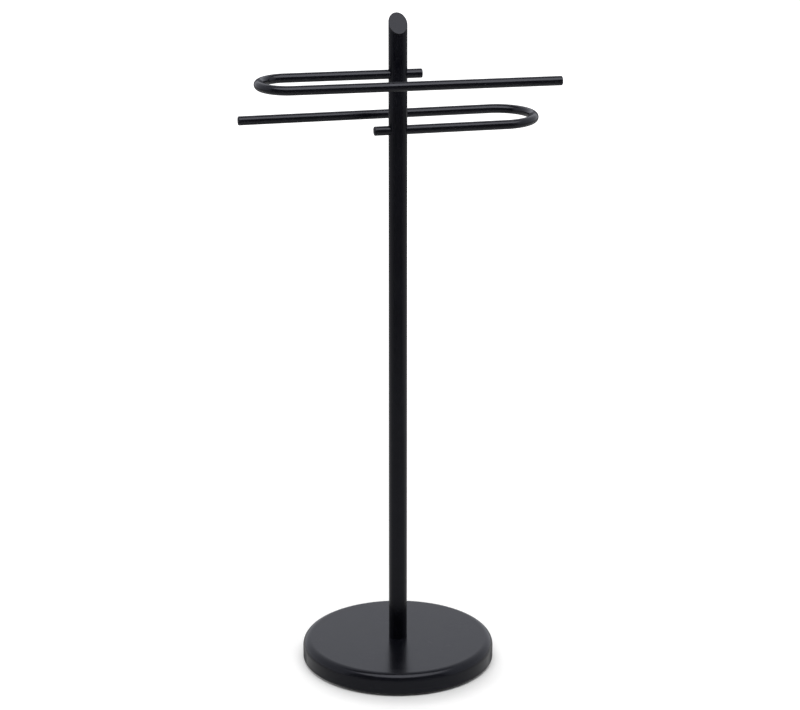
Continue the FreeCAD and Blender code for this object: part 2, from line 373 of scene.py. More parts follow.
def edge_wear_group():
    """Broken mask along the small rounds that the pieces mark as edges."""
    tree, given, made = new_group(
        "Edge Wear", [("Amount", FLOAT, 0.3), ("Break Scale", FLOAT, 260.0)],
        [("Mask", FLOAT)])
    edge = place(tree, "ShaderNodeAttribute", attribute_name="edge").outputs["Fac"]
    patchy = noise(tree, own_place(tree), given["Break Scale"], 4.0, 0.65)
    mask = math_of(tree, "MULTIPLY", edge, spread(tree, patchy, 0.42, 0.62, 0.15, 1.0))
    wire(tree, made, {"Mask": math_of(tree, "MULTIPLY", mask, given["Amount"], clamp=True)})
    return tree


def dust_group():
    """Fine dust that settles on faces that look up."""
    tree, given, made = new_group(
        "Settled Dust", [("Amount", FLOAT, 0.1), ("Speck Scale", FLOAT, 900.0)],
        [("Mask", FLOAT)])
    normal = place(tree, "ShaderNodeNewGeometry").outputs["Normal"]
    up = place(tree, "ShaderNodeSeparateXYZ", {0: normal}).outputs[2]
    where = own_place(tree)
    veil = spread(tree, noise(tree, where, 35.0, 5.0, 0.7), 0.40, 0.72, 0.10, 0.55)
    speck = cells(tree, where, given["Speck Scale"])["Distance"]
    film = math_of(tree, "ADD", veil, spread(tree, speck, 0.03, 0.12, 0.8, 0.0))
    mask = math_of(tree, "MULTIPLY", spread(tree, up, 0.55, 0.98), film)
    wire(tree, made, {"Mask": math_of(tree, "MULTIPLY", mask, given["Amount"], clamp=True)})
    return tree


def metal_grain_group():
    """Fine scratches and cloudy patches of plated or rolled steel."""
    tree, given, made = new_group(
        "Metal Grain",
        [("Colour", COLOUR, (0.5, 0.5, 0.5, 1.0)), ("Roughness", FLOAT, 0.35),
         ("Stretch", VECTOR, (1.0, 8.0, 1.0)), ("Patch Scale", FLOAT, 120.0)],
        [("Colour", COLOUR), ("Roughness", FLOAT), ("Height", FLOAT)])
    where = own_place(tree)
    pulled = place(tree, "ShaderNodeVectorMath", {0: where, 1: given["Stretch"]},
                   operation="MULTIPLY").outputs[0]
    lines = noise(tree, pulled, 900.0, 3.0, 0.6)
    patches = cells(tree, where, given["Patch Scale"])["Color"]
    clouds = noise(tree, where, 60.0, 4.0, 0.6)
    patch = place(tree, "ShaderNodeSeparateColor", {0: patches}).outputs[0]
    shaded = mix_colours(tree, spread(tree, patch, 0.0, 1.0, 0.0, 0.30), given["Colour"],
                         (0.72, 0.74, 0.80, 1.0), "MULTIPLY")
    stain = spread(tree, clouds, 0.55, 0.75, 0.0, 0.35)
    rough = math_of(tree, "ADD", given["Roughness"],
                    spread(tree, clouds, 0.30, 0.70, -0.08, 0.12))
    wire(tree, made, {
        "Colour": mix_colours(tree, stain, shaded, (0.80, 0.74, 0.62, 1.0), "MULTIPLY"),
        "Roughness": math_of(tree, "ADD", rough,
                             spread(tree, lines, 0.30, 0.70, -0.06, 0.06), clamp=True),
        "Height": lines})
    return tree


GROUPS = {
    "Powder Skin": powder_skin_group,
    "Edge Wear": edge_wear_group,
    "Settled Dust": dust_group,
    "Metal Grain": metal_grain_group,
}


def effect(tree, name, feeds):
    """Places one of the shared effects in a material."""
    group = bpy.data.node_groups.get(name) or GROUPS[name]()
    return place(tree, "ShaderNodeGroup", feeds, node_tree=group).outputs


def cleared_tree(owner):
    """The empty node tree of a material or of the world."""
    owner.use_nodes = True
    owner.node_tree.nodes.clear()
    return owner.node_tree


def new_material(name):
    """A material with one Principled shader, and that shader's inputs."""
    material = bpy.data.materials.new(name)
    tree = cleared_tree(material)
    shader = place(tree, "ShaderNodeBsdfPrincipled")
    place(tree, "ShaderNodeOutputMaterial", {"Surface": shader.outputs[0]})
    return material, tree, shader.inputs


def raise_surface(tree, inputs, height, depth):
    bump = place(tree, "ShaderNodeBump", {"Height": height, "Distance": depth,
                                          "Strength": 1.0})
    wire(tree, inputs, {"Normal": bump.outputs[0]})


# ---------------------------------------------------------------- materials

def satin_black_coat(name, rgb, index, haze):
    """Powder coat that is less glossy where it is seen at a shallow angle."""
    finish = settings().finish
    material, tree, inputs = new_material(name)
    skin = effect(tree, "Powder Skin",
                  {"Colour": opaque(rgb), "Roughness": finish.coat_roughness,
                   "Peel Scale": 1.0 / finish.peel_size, "Peel Depth": finish.peel_depth})
    wear = effect(tree, "Edge Wear", {"Amount": finish.edge_wear})["Mask"]
    dust = effect(tree, "Settled Dust", {"Amount": finish.dust})["Mask"]
    worn = mix_colours(tree, wear, skin["Colour"], opaque(finish.worn_coat))
    worn_rough = mix_values(tree, wear, skin["Roughness"], finish.worn_roughness)
    dusty_rough = mix_values(tree, dust, worn_rough, finish.dust_roughness)
    facing = place(tree, "ShaderNodeLayerWeight", {"Blend": 0.5}).outputs["Facing"]
    hazy = spread(tree, facing, finish.haze_start, finish.haze_whole)
    wire(tree, inputs, {
        "Base Color": mix_colours(tree, dust, worn, opaque(finish.dust_colour)),
        "Roughness": mix_values(tree, hazy, dusty_rough, haze),
        "IOR": index,
        "Specular Tint": opaque(finish.coat_tint)})
    raise_surface(tree, inputs, skin["Height"], 0.05 * MM)
    return material


def coat_for(name):
    """The coat of the post and cap, of the rails or of the base cover."""
    finish = settings().finish
    coats = {
        "powder_coat": ("satin_black_post_coat", finish.coat, finish.post_index,
                        finish.tube_haze),
        "rail_coat": ("satin_black_rail_coat", finish.coat, finish.rail_index,
                      finish.tube_haze),
        # The base's coat is lighter and bluer: a painted trace of the cool reflection on its
        # top.
        "cover_coat_and_painted_reflection": ("satin_black_cover_coat", finish.cover_coat_and_painted_reflection, finish.cover_index,
                       finish.cover_haze),
    }
    return satin_black_coat(*coats[name])


def moulded_rubber(_):
    material, tree, inputs = new_material("moulded_rubber")
    where = own_place(tree)
    grain = noise(tree, where, 1800.0, 3.0, 0.6)
    bloom = noise(tree, where, 55.0, 4.0, 0.65)
    wire(tree, inputs, {
        "Base Color": mix_colours(tree, spread(tree, bloom, 0.35, 0.70, 0.0, 0.22),
                                  opaque(settings().finish.rubber), (0.10, 0.10, 0.10, 1.0)),
        "Roughness": spread(tree, bloom, 0.30, 0.70, 0.62, 0.80),
        "IOR": 1.45})
    raise_surface(tree, inputs, grain, 0.06 * MM)
    return material


def plated_metal(name, rgb, roughness, stretch, patch_scale, depth):
    material, tree, inputs = new_material(name)
    grain = effect(tree, "Metal Grain", {"Colour": opaque(rgb), "Roughness": roughness,
                                         "Stretch": stretch, "Patch Scale": patch_scale})
    wear = effect(tree, "Edge Wear", {"Amount": 0.6, "Break Scale": 500.0})["Mask"]
    wire(tree, inputs, {
        "Base Color": mix_colours(tree, wear, grain["Colour"], (0.62, 0.62, 0.63, 1.0)),
        "Roughness": mix_values(tree, wear, grain["Roughness"], 0.25),
        "Metallic": 1.0})
    raise_surface(tree, inputs, grain["Height"], depth)
    return material


def metal_for(name):
    """Each metal: name, colour, roughness, stretch, patch scale and depth of its grain."""
    finish = settings().finish
    metals = {
        "zinc_plate": ("zinc_plated_sheet", finish.zinc, 0.34, (1.0, 9.0, 1.0), 140.0,
                       0.01 * MM),
        "zinc_fixing": ("zinc_plated_fixing", finish.zinc, 0.30, (5.0, 5.0, 1.0), 420.0,
                        0.01 * MM),
        "plain_steel": ("turned_steel", finish.steel, 0.32, (1.0, 1.0, 10.0), 300.0,
                        0.02 * MM),
        "blackened_steel": ("blackened_steel", finish.black_steel, 0.36, (4.0, 1.0, 4.0),
                            600.0, 0.01 * MM),
    }
    return plated_metal(*metals[name])


def cast_filling(_):
    material, tree, inputs = new_material("cast_filling")
    where = own_place(tree)
    sand = noise(tree, where, 1100.0, 4.0, 0.7)
    stain = noise(tree, where, 60.0, 5.0, 0.6)
    # Pores are darker pits: painted shade inside each pore, with a shallow dip in the bump.
    hole = spread(tree, cells(tree, where, 330.0)["Distance"], 0.06, 0.24)
    shade = mix_colours(tree, spread(tree, stain, 0.35, 0.65),
                        opaque(settings().finish.filling), (0.72, 0.71, 0.70, 1.0), "MULTIPLY")
    speckle = mix_colours(tree, spread(tree, sand, 0.40, 0.62, 0.0, 0.5), shade,
                          (0.66, 0.65, 0.62, 1.0), "MULTIPLY")
    wire(tree, inputs, {
        "Base Color": mix_colours(tree, hole, (0.10, 0.10, 0.095, 1.0), speckle),
        "Roughness": spread(tree, sand, 0.30, 0.70, 0.80, 0.95)})
    height = math_of(tree, "ADD", math_of(tree, "MULTIPLY", sand, 0.35), hole)
    raise_surface(tree, inputs, height, 0.25 * MM)
    return material


MATERIALS = {
    "powder_coat": coat_for,
    "rail_coat": coat_for,
    "cover_coat_and_painted_reflection": coat_for,
    "ring_rubber": moulded_rubber,
    "zinc_plate": metal_for,
    "zinc_fixing": metal_for,
    "plain_steel": metal_for,
    "blackened_steel": metal_for,
    "cast_filling": cast_filling,
}
MADE = {}


def finish_for(name):
    """The material of a slot, or of one kind of coat, made once."""
    if name not in MADE:
        MADE[name] = MATERIALS[name](name)
    return MADE[name]


# ---------------------------------------------------------------- mesh helpers

def new_object(name, mesh):
    piece = bpy.data.objects.new(name, mesh)
    bpy.context.scene.collection.objects.link(piece)
    return piece


def plain_object(name, points, edges=(), faces=()):
    mesh = bpy.data.meshes.new(name)
    mesh.from_pydata(points, edges, faces)
    return new_object(name, mesh)


def mesh_from(shape, name):
    """Turns a bmesh into a mesh whose faces point outwards."""
    bmesh.ops.recalc_face_normals(shape, faces=shape.faces)
    mesh = bpy.data.meshes.new(name)
    shape.to_mesh(mesh)
    shape.free()
    return mesh


def new_tree(name, inputs, output):
    """Starts a Geometry Nodes tree; each input is (name, type)."""
    tree = bpy.data.node_groups.new(name, "GeometryNodeTree")
    for label, kind in inputs + (("Finish", "Material"),):
        tree.interface.new_socket(name=label, in_out="INPUT",
                                  socket_type="NodeSocket" + kind)
    tree.interface.new_socket(name=output, in_out="OUTPUT",
                              socket_type="NodeSocketGeometry")
    return tree, tree.nodes.new("NodeGroupInput").outputs


def end_tree(tree, given, shape):
    """Ends a Geometry Nodes tree in real geometry with its material."""
    real = place(tree, "GeometryNodeRealizeInstances", {"Geometry": shape}).outputs[0]
    painted = place(tree, "GeometryNodeSetMaterial",
                    {"Geometry": real, "Material": given["Finish"]}).outputs[0]
    place(tree, "NodeGroupOutput", {0: painted})
    return tree


def run_tree(piece, tree, values):
    """Puts a Geometry Nodes tree on a piece and sets its inputs by identifier."""
    modifier = piece.modifiers.new(tree.name, "NODES")
    modifier.node_group = tree
    identifiers = {item.name: item.identifier for item in tree.interface.items_tree
                   if item.in_out == "INPUT"}
    for name, value in values.items():
        modifier[identifiers[name]] = value


def settle(piece):
    """Keeps what the modifiers make as the piece's own plain mesh."""
    graph = bpy.context.evaluated_depsgraph_get()
    mesh = bpy.data.meshes.new_from_object(piece.evaluated_get(graph),
                                           preserve_all_data_layers=True, depsgraph=graph)
    piece.modifiers.clear()
    piece.data = mesh
    return piece


def mark_edges(piece, finish):
    """Turns the second material slot, used on small rounds, into the edge mark."""
    mesh = piece.data
    edge = mesh.attributes.new("edge", "FLOAT", "FACE")
    for face in mesh.polygons:
        edge.data[face.index].value = 1.0 if face.material_index == 1 else 0.0
        face.material_index = 0
    mesh.materials.clear()
    mesh.materials.append(finish_for(finish))


def soften(piece, width, limit, segments=3):
    """Small rounds on the sharp edges, with even shading on the large faces."""
    for _ in range(2 - len(piece.data.materials)):
        piece.data.materials.append(None)
    bevel = piece.modifiers.new("Small rounds", "BEVEL")
    bevel.width = width
    bevel.segments = segments
    bevel.limit_method = "ANGLE"
    bevel.angle_limit = math.radians(limit)
    bevel.material = 1
    bevel.use_clamp_overlap = True
    even = piece.modifiers.new("Even shading", "WEIGHTED_NORMAL")
    even.weight = 100
    even.keep_sharp = False


def finish_piece(piece, slot, *nodes, finish=None):
    """Gives a finished piece its material, its body and the node it stands for."""
    if "edge" not in piece.data.attributes:
        mark_edges(piece, finish or slot)
    if any(abs(v) > 1e-9 for v in piece.location):
        raise RuntimeError(piece.name + " has to sit at the origin")
    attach(piece, BODY)
    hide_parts(*nodes)


def arc(centre_r, centre_z, radius, start, end, steps):
    """Points of an arc in the radius and height plane, in degrees."""
    points = []
    for step in range(steps + 1):
        angle = math.radians(start + (end - start) * step / steps)
        points.append((centre_r + radius * math.cos(angle),
                       centre_z + radius * math.sin(angle)))
    return points


def angles_round(steps, start=0.0):
    """Equal steps of a full turn, in radians."""
    return [start + 2 * math.pi * step / steps for step in range(steps)]


def round_pairs(ring):
    """Each item of a closed ring with the one after it."""
    return zip(ring, ring[1:] + ring[:1])


def circle(reach, steps, z):
    return [(reach * math.cos(angle), reach * math.sin(angle), z)
            for angle in angles_round(steps)]


def lathe(name, outline, steps):
    """Closed outline of (radius, height) points turned round the post's centre line."""
    shape = bmesh.new()
    rings = []
    for angle in angles_round(steps):
        c, s = math.cos(angle), math.sin(angle)
        rings.append([shape.verts.new((r * c, r * s, z)) for r, z in outline])
    for here, there in round_pairs(rings):
        for (a, b), (c, d) in zip(round_pairs(here), round_pairs(there)):
            shape.faces.new((a, c, d, b)).smooth = True
    return new_object(name, mesh_from(shape, name))


class Skin:
    """Collects rings of points with their normals and joins them with faces."""

    def __init__(self):
        self.shape = bmesh.new()
        self.normal = self.shape.verts.layers.float_vector.new("own_normal")
        self.edge = self.shape.faces.layers.float.new("edge")

    def ring(self, points):
        made = []
        for place_at, normal in points:
            vertex = self.shape.verts.new(place_at)
            vertex[self.normal] = normal
            made.append(vertex)
        return made

    def join(self, one, other, closed=True, edge=0.0):
        quads = list(zip(round_pairs(one), round_pairs(other)))
        for (a, b), (c, d) in quads if closed else quads[:-1]:
            face = self.shape.faces.new((a, b, d, c))
            face.smooth = True
            face[self.edge] = edge

    def close(self, ring, centre, normal):
        middle = self.ring([(centre, normal)])[0]
        for here, after in round_pairs(ring):
            self.shape.faces.new((here, after, middle)).smooth = True

    def piece(self, name, slot):
        bmesh.ops.remove_doubles(self.shape, verts=self.shape.verts, dist=SEW)
        mesh = mesh_from(self.shape, name)
        normals = [Vector(item.vector) for item in mesh.attributes["own_normal"].data]
        mesh.normals_split_custom_set_from_vertices(normals)
        mesh.attributes.remove(mesh.attributes["own_normal"])
        mesh.materials.append(finish_for(slot))
        return new_object(name, mesh)


# ---------------------------------------------------------------- base

def cover_outline(base, post):
    """Section of the pressed cover: top, large round, side, fold and hem."""
    hole = post.outer_radius + base.post_gap
    corner_r = base.radius - base.edge_round
    corner_z = base.height - base.edge_round
    fold_r = base.radius - base.hem_round
    fold_z = base.lift + base.hem_round
    inner_fold = base.hem_round - base.sheet
    inner_round = base.edge_round - base.sheet
    hem_end = base.radius - base.hem_width
    top = base.height
    under = top - base.sheet
    collar = hole + base.collar
    outline = [(hole, top), (collar, top)]
    outline += arc(corner_r, corner_z, base.edge_round, 90, 0, 20)
    outline += arc(fold_r, fold_z, base.hem_round, 0, -90, 8)
    outline += [(hem_end, base.lift), (hem_end, base.lift + base.sheet)]
    outline += arc(fold_r, fold_z, inner_fold, -90, 0, 4)
    outline += arc(corner_r, corner_z, inner_round, 0, 90, 10)
    outline += [(collar, under), (hole, under)]
    return outline


def ring_outline(base):
    """Section of the rubber ring, with rounded ribs where it meets the floor."""
    outer, top = RING_HIGH.x, RING_HIGH.z
    pitch = base.ring_width / base.ring_ribs
    reach = pitch * base.rib_half - base.rib_round
    outline = [(outer, top)]
    for rib in range(base.ring_ribs):
        edge = outer - rib * pitch
        middle = edge - pitch / 2
        if rib:
            outline.append((edge, base.rib_depth))
        for end, start in ((middle + reach, 0), (middle - reach, -90)):
            outline += arc(end, base.rib_round, base.rib_round, start, start - 90, 4)
    outline += [(outer - base.ring_width, top)]
    return outline


class STAND_OT_base_cover(bpy.types.Operator):
    """Make the pressed steel cover of the base"""
    bl_idname = "towel_stand.base_cover"
    bl_label = "Base Cover"

    def execute(self, context):
        made = settings()
        piece = lathe("base_cover_pressed", cover_outline(made.base, made.post),
                      made.base.steps)
        soften(piece, width=0.35 * MM, limit=50.0)
        finish_piece(settle(piece), "powder_coat", "base_cover", finish="cover_coat_and_painted_reflection")
        return {"FINISHED"}


class STAND_OT_bottom_plate(bpy.types.Operator):
    """Make the thin disc that closes the base from below"""
    bl_idname = "towel_stand.bottom_plate"
    bl_label = "Bottom Plate"

    def execute(self, context):
        made = settings()
        outer, hole = PLATE_HIGH.x, made.base.plate_hole
        outline = [(hole, PLATE_LOW.z), (hole, PLATE_HIGH.z), (outer, PLATE_HIGH.z),
                   (outer, PLATE_LOW.z)]
        piece = lathe("base_bottom_disc", outline, made.base.steps)
        soften(piece, width=0.25 * MM, limit=50.0)
        finish_piece(settle(piece), "zinc_plate", "base_bottom_plate")
        return {"FINISHED"}


class STAND_OT_non_slip_ring(bpy.types.Operator):
    """Make the ribbed rubber ring that the stand rests on"""
    bl_idname = "towel_stand.non_slip_ring"
    bl_label = "Non-slip Ring"

    def execute(self, context):
        made = settings()
        piece = lathe("non_slip_ring_ribbed", ring_outline(made.base), made.base.steps)
        soften(piece, width=0.2 * MM, limit=60.0, segments=2)
        finish_piece(settle(piece), "ring_rubber", "non_slip_ring")
        return {"FINISHED"}


# ---------------------------------------------------------------- rails

def bent_rod_tree():
    """Geometry nodes: a round rod along a route whose corners are rounded."""
    tree, given = new_tree(
        "Bent Rod", (("Route", "Geometry"), ("Rod Radius", "Float"), ("Bend Radius", "Float"),
                     ("End Scale", "Float"), ("Sides", "Int"), ("Bend Steps", "Int")), "Rod")
    line = place(tree, "GeometryNodeMeshToCurve", {"Mesh": given["Route"]}).outputs[0]
    bent = place(tree, "GeometryNodeFilletCurve",
                 {"Curve": line, "Count": given["Bend Steps"],
                  "Radius": given["Bend Radius"], "Limit Radius": True},
                 mode="POLY").outputs[0]
    ends = place(tree, "GeometryNodeCurveEndpointSelection",
                 {"Start Size": 1, "End Size": 1}).outputs[0]
    whole = place(tree, "GeometryNodeSetCurveRadius",
                  {"Curve": bent, "Radius": 1.0}).outputs[0]
    narrowed = place(tree, "GeometryNodeSetCurveRadius",
                     {"Curve": whole, "Selection": ends,
                      "Radius": given["End Scale"]}).outputs[0]
    section = place(tree, "GeometryNodeCurvePrimitiveCircle",
                    {"Resolution": given["Sides"], "Radius": given["Rod Radius"]}).outputs[0]
    size = place(tree, "GeometryNodeInputRadius").outputs[0]
    sweep = place(tree, "GeometryNodeCurveToMesh",
                  {"Curve": narrowed, "Profile Curve": section, "Scale": size,
                   "Fill Caps": True}).outputs[0]
    sewn = place(tree, "GeometryNodeMergeByDistance",
                 {"Geometry": sweep, "Distance": SEW_ROD}).outputs[0]
    smooth = place(tree, "GeometryNodeSetShadeSmooth", {"Geometry": sewn}).outputs[0]
    return end_tree(tree, given, smooth)


def make_rail(node, side, height, turned, bend_start, bend_radius, long_end):
    """Makes a rail whose bend is towards side, which is +1 or -1 along X."""
    rails = settings().rails
    far_x, far_y = side * (bend_start + bend_radius), side * 2 * bend_radius
    short_x, long_x = -side * rails.stub, -side * long_end
    step = side * rails.chamfer
    route = [(short_x, 0), (short_x + step, 0), (far_x, 0), (far_x, far_y),
             (long_x + step, far_y), (long_x, far_y)]
    spin = Matrix.Rotation(turned, 4, "Z")
    points = [spin @ Vector((x, y, height)) for x, y in route]
    piece = plain_object(node + "_rod", points,
                         edges=[(i, i + 1) for i in range(len(points) - 1)])
    run_tree(piece, bpy.data.node_groups.get("Bent Rod") or bent_rod_tree(),
             {"Rod Radius": rails.rod_radius, "Bend Radius": bend_radius,
              "End Scale": 1.0 - rails.chamfer / rails.rod_radius, "Sides": rails.sides,
              "Bend Steps": rails.bend_steps, "Finish": finish_for("rail_coat")})
    soften(piece, width=0.3 * MM, limit=25.0)
    finish_piece(settle(piece), "powder_coat", node, finish="rail_coat")


class STAND_OT_rails(bpy.types.Operator):
    """Make the two rails, each a rod bent to a U that lies flat"""
    bl_idname = "towel_stand.rails"
    bl_label = "Rails"

    def execute(self, context):
        rails = settings().rails
        make_rail("upper_rail", -1, rails.upper_z, rails.upper_turn, rails.upper_bend_start,
                  rails.upper_bend_radius, rails.upper_long_end)
        make_rail("lower_rail", 1, rails.lower_z, rails.lower_turn, rails.lower_bend_start,
                  rails.lower_bend_radius, rails.lower_long_end)
        return {"FINISHED"}


# ---------------------------------------------------------------- post

QUARTER = math.pi / 4      # half of each quarter panel of the tube's wall


def on_tube(radius, angle, z):
    """Point of the tube and its normal."""
    out = Vector((math.cos(angle), math.sin(angle), 0.0))
    return Vector((radius * out.x, radius * out.y, z)), out


def slope_height(post, y, below):
    """Height of the slanted end at y, on a plane moved below it and square to itself."""
    return post.top_z + y * math.tan(post.slope) - below / math.cos(post.slope)


def slanted_ring(post, radius, below, angles):
    """Points and normals of the tube where the slanted plane meets it."""
    return [on_tube(radius, angle, slope_height(post, radius * math.sin(angle), below))
            for angle in angles]


def square_samples(columns):
    """Points along the sides of a square of half width 1, in order, columns a side."""
    steps = [-1 + 2 * i / columns for i in range(columns)]
    return ([(step, -1) for step in steps] + [(1, step) for step in steps]
            + [(-step, 1) for step in steps] + [(-1, -step) for step in steps])


def hole_point(radius, reach, angle, centre, height):
    """Where a ray round a cross hole meets the tube of that radius."""
    across = reach * math.cos(angle)
    return centre + math.asin(across / radius), height + reach * math.sin(angle)


def holed_panel(skin, columns, radius, middle, height, centre, edge):
    """Quarter of the tube's wall round one hole; returns the ring at the hole."""
    samples = []
    for u, v in square_samples(columns):
        theta = middle + u * QUARTER
        z = height + v * radius * QUARTER
        samples.append((theta, z, math.atan2(z - height, (theta - centre) * radius)))
    rings = []
    steps, crowding = 8, 1.6     # the rings lie closer together towards the hole
    for step in range(steps + 1):
        t = 1 - (1 - step / steps) ** crowding
        ring = []
        for theta, z, angle in samples:
            end_theta, end_z = hole_point(radius, edge, angle, centre, height)
            ring.append(on_tube(radius, theta + (end_theta - theta) * t,
                                z + (end_z - z) * t))
        rings.append(skin.ring(ring))
    for one, other in zip(rings, rings[1:]):
        skin.join(one, other)
    return rings[-1], [angle for _, _, angle in samples]


def rim_ring(skin, radius, reach, rim, bend, angles, centre, height):
    """One ring of the small round between the tube and the hole."""
    points = []
    depth = rim * (1 - math.cos(bend))
    around = reach + rim * (1 - math.sin(bend))
    for angle in angles:
        theta, z = hole_point(radius - depth, around, angle, centre, height)
        place_at, out = on_tube(radius - depth, theta, z)
        side = Vector((-math.sin(centre) * math.cos(angle),
                       math.cos(centre) * math.cos(angle), math.sin(angle)))
        normal = (out * math.cos(bend) - side * math.sin(bend)).normalized()
        points.append((place_at, normal))
    return skin.ring(points)


def plain_panel(skin, columns, radius, middle, height):
    """Quarter of the tube's wall with no hole, with the same outer points."""
    half = radius * QUARTER
    rows = []
    for row in range(columns + 1):
        z = height - half + 2 * half * row / columns
        rows.append(skin.ring([on_tube(radius, middle - QUARTER + 2 * QUARTER * i / columns, z)
                               for i in range(columns + 1)]))
    for one, other in zip(rows, rows[1:]):
        skin.join(one, other, closed=False)


def tube_wall(skin, radius, inner_radius, rim, holes):
    """Outside or inside of the tube, with its cross holes and screw holes."""
    post = settings().post
    columns = post.columns
    angles = angles_round(columns * 4, start=-QUARTER)

    def level_ring(z):
        return skin.ring([on_tube(radius, angle, z) for angle in angles])

    low = first = level_ring(post.foot_z)
    for height, turned, rod_reach, screw_reach in holes:
        skin.join(low, level_ring(height - radius * QUARTER))
        for middle, centre, reach in ((0.0, turned, rod_reach),
                                      (math.pi / 2, math.pi / 2, screw_reach),
                                      (math.pi, math.pi + turned, rod_reach)):
            ring, around = holed_panel(skin, columns, radius, middle, height, centre,
                                       reach + rim)
            if not rim:
                continue
            for bend in (30, 60, 90):
                following = rim_ring(skin, radius, reach, rim, math.radians(bend),
                                     around, centre, height)
                skin.join(ring, following, edge=1.0)
                ring = following
            skin.join(ring, rim_ring(skin, inner_radius, reach, 0.0, math.pi / 2,
                                     around, centre, height))
        plain_panel(skin, columns, radius, -math.pi / 2, height)
        low = level_ring(height + radius * QUARTER)
    top = skin.ring(slanted_ring(post, radius, post.cap_thickness, angles))
    skin.join(low, top)
    return first, top


class STAND_OT_post(bpy.types.Operator):
    """Make the post's tube with its slanted end and cross holes"""
    bl_idname = "towel_stand.post"
    bl_label = "Post"

    def execute(self, context):
        made = settings()
        post, rails = made.post, made.rails
        rod_reach = rails.rod_radius + post.hole_gap
        screw_reach = made.fixings.screw_radius + post.hole_gap
        holes = [(rails.lower_z, rails.lower_turn, rod_reach, screw_reach),
                 (rails.upper_z, rails.upper_turn, rod_reach, screw_reach)]
        inner = post.outer_radius - post.wall
        skin = Skin()
        low_out, top_out = tube_wall(skin, post.outer_radius, inner, post.hole_round, holes)
        low_in, top_in = tube_wall(skin, inner, inner, 0.0, holes)
        skin.join(low_out, low_in)
        skin.join(top_out, top_in)
        finish_piece(skin.piece("post_tube_wall", "powder_coat"), "powder_coat", "post_tube")
        return {"FINISHED"}


def rounded_rim(corner, out, facing, rim, t):
    """Point and normal of the round between the cap's side (t 0) and its face (t 1)."""
    middle = corner - (out + facing) * (rim / (1 + out.dot(facing)))
    angle = out.angle(facing)
    normal = (out * math.sin((1 - t) * angle)
              + facing * math.sin(t * angle)) / math.sin(angle)
    return middle + normal * rim, normal


class STAND_OT_top_cap(bpy.types.Operator):
    """Make the flat cap that closes the post's slanted end"""
    bl_idname = "towel_stand.top_cap"
    bl_label = "Top Cap"

    def execute(self, context):
        post = settings().post
        radius, rim = post.outer_radius, post.cap_round
        angles = angles_round(post.columns * 8)
        facing = Vector((0.0, -math.sin(post.slope), math.cos(post.slope)))
        corners = slanted_ring(post, radius, 0.0, angles)
        skin = Skin()
        joint = ring = skin.ring(slanted_ring(post, radius, post.cap_thickness, angles))
        for bend in range(7):
            following = skin.ring([rounded_rim(corner, out, facing, rim, bend / 6)
                                   for corner, out in corners])
            skin.join(ring, following, edge=1.0 if bend else 0.0)
            ring = following
        top = Vector((0.0, 0.0, post.top_z))
        outer = [vertex.co.copy() for vertex in ring]
        for scale in (0.85, 0.5):
            following = skin.ring([(top + (p - top) * scale, facing) for p in outer])
            skin.join(ring, following)
            ring = following
        skin.close(ring, top, facing)
        ring = skin.ring([(vertex.co.copy(), -facing) for vertex in joint])
        plug = radius - post.wall - post.plug_gap
        low = post.cap_thickness + post.cap_plug
        for below in (post.cap_thickness, low):
            following = skin.ring([(point, -facing) for point, _ in
                                   slanted_ring(post, plug, below, angles)])
            skin.join(ring, following)
            ring = following
        skin.close(ring, Vector((0, 0, slope_height(post, 0.0, low))), -facing)
        finish_piece(skin.piece("post_top_cap_plate", "powder_coat"), "powder_coat",
                     "post_top_cap")
        return {"FINISHED"}


# ---------------------------------------------------------------- fixings

def set_screw_mesh(fixings):
    """Set screw along Z with its outer end at the origin and a hexagon socket."""
    radius, chamfer = fixings.screw_radius, fixings.screw_chamfer
    steps = 36
    corner = fixings.socket_flats / math.sqrt(3)

    def hexagon(grow, z):
        points = []
        for angle in angles_round(steps):
            fold = (angle % (math.pi / 3)) - math.pi / 6
            reach = corner * grow * math.cos(math.pi / 6) / math.cos(fold)
            points.append((reach * math.cos(angle), reach * math.sin(angle), z))
        return points

    deep, long = fixings.socket_depth, fixings.screw_length
    rings = [circle(radius - chamfer, steps, -long), circle(radius, steps, chamfer - long),
             circle(radius, steps, -chamfer), circle(radius - chamfer, steps, 0.0),
             hexagon(fixings.mouth_flare, 0.0), hexagon(1.0, -fixings.mouth_depth),
             hexagon(1.0, -deep)]
    shape = bmesh.new()
    made = [[shape.verts.new(p) for p in ring] for ring in rings]
    for one, other in zip(made, made[1:]):
        for (a, b), (c, d) in zip(round_pairs(one), round_pairs(other)):
            shape.faces.new((a, b, d, c))
    shape.faces.new(list(reversed(made[0])))
    tip = shape.verts.new((0, 0, -deep - fixings.tip_depth))
    for here, after in round_pairs(made[-1]):
        shape.faces.new((here, after, tip))
    mesh = mesh_from(shape, "set_screw")
    mesh.set_sharp_from_angle(angle=math.radians(30))
    return mesh


def repeat_tree():
    """Geometry nodes: one fixing repeated on every point, all turned alike."""
    tree, given = new_tree("Repeated Fixing", (("Points", "Geometry"), ("Fixing", "Object"),
                                               ("Turn", "Vector")), "Fixings")
    one = place(tree, "GeometryNodeObjectInfo",
                {"Object": given["Fixing"]}).outputs["Geometry"]
    spin = place(tree, "FunctionNodeEulerToRotation", {0: given["Turn"]}).outputs[0]
    copies = place(tree, "GeometryNodeInstanceOnPoints",
                   {"Points": given["Points"], "Instance": one, "Rotation": spin}).outputs[0]
    return end_tree(tree, given, copies)


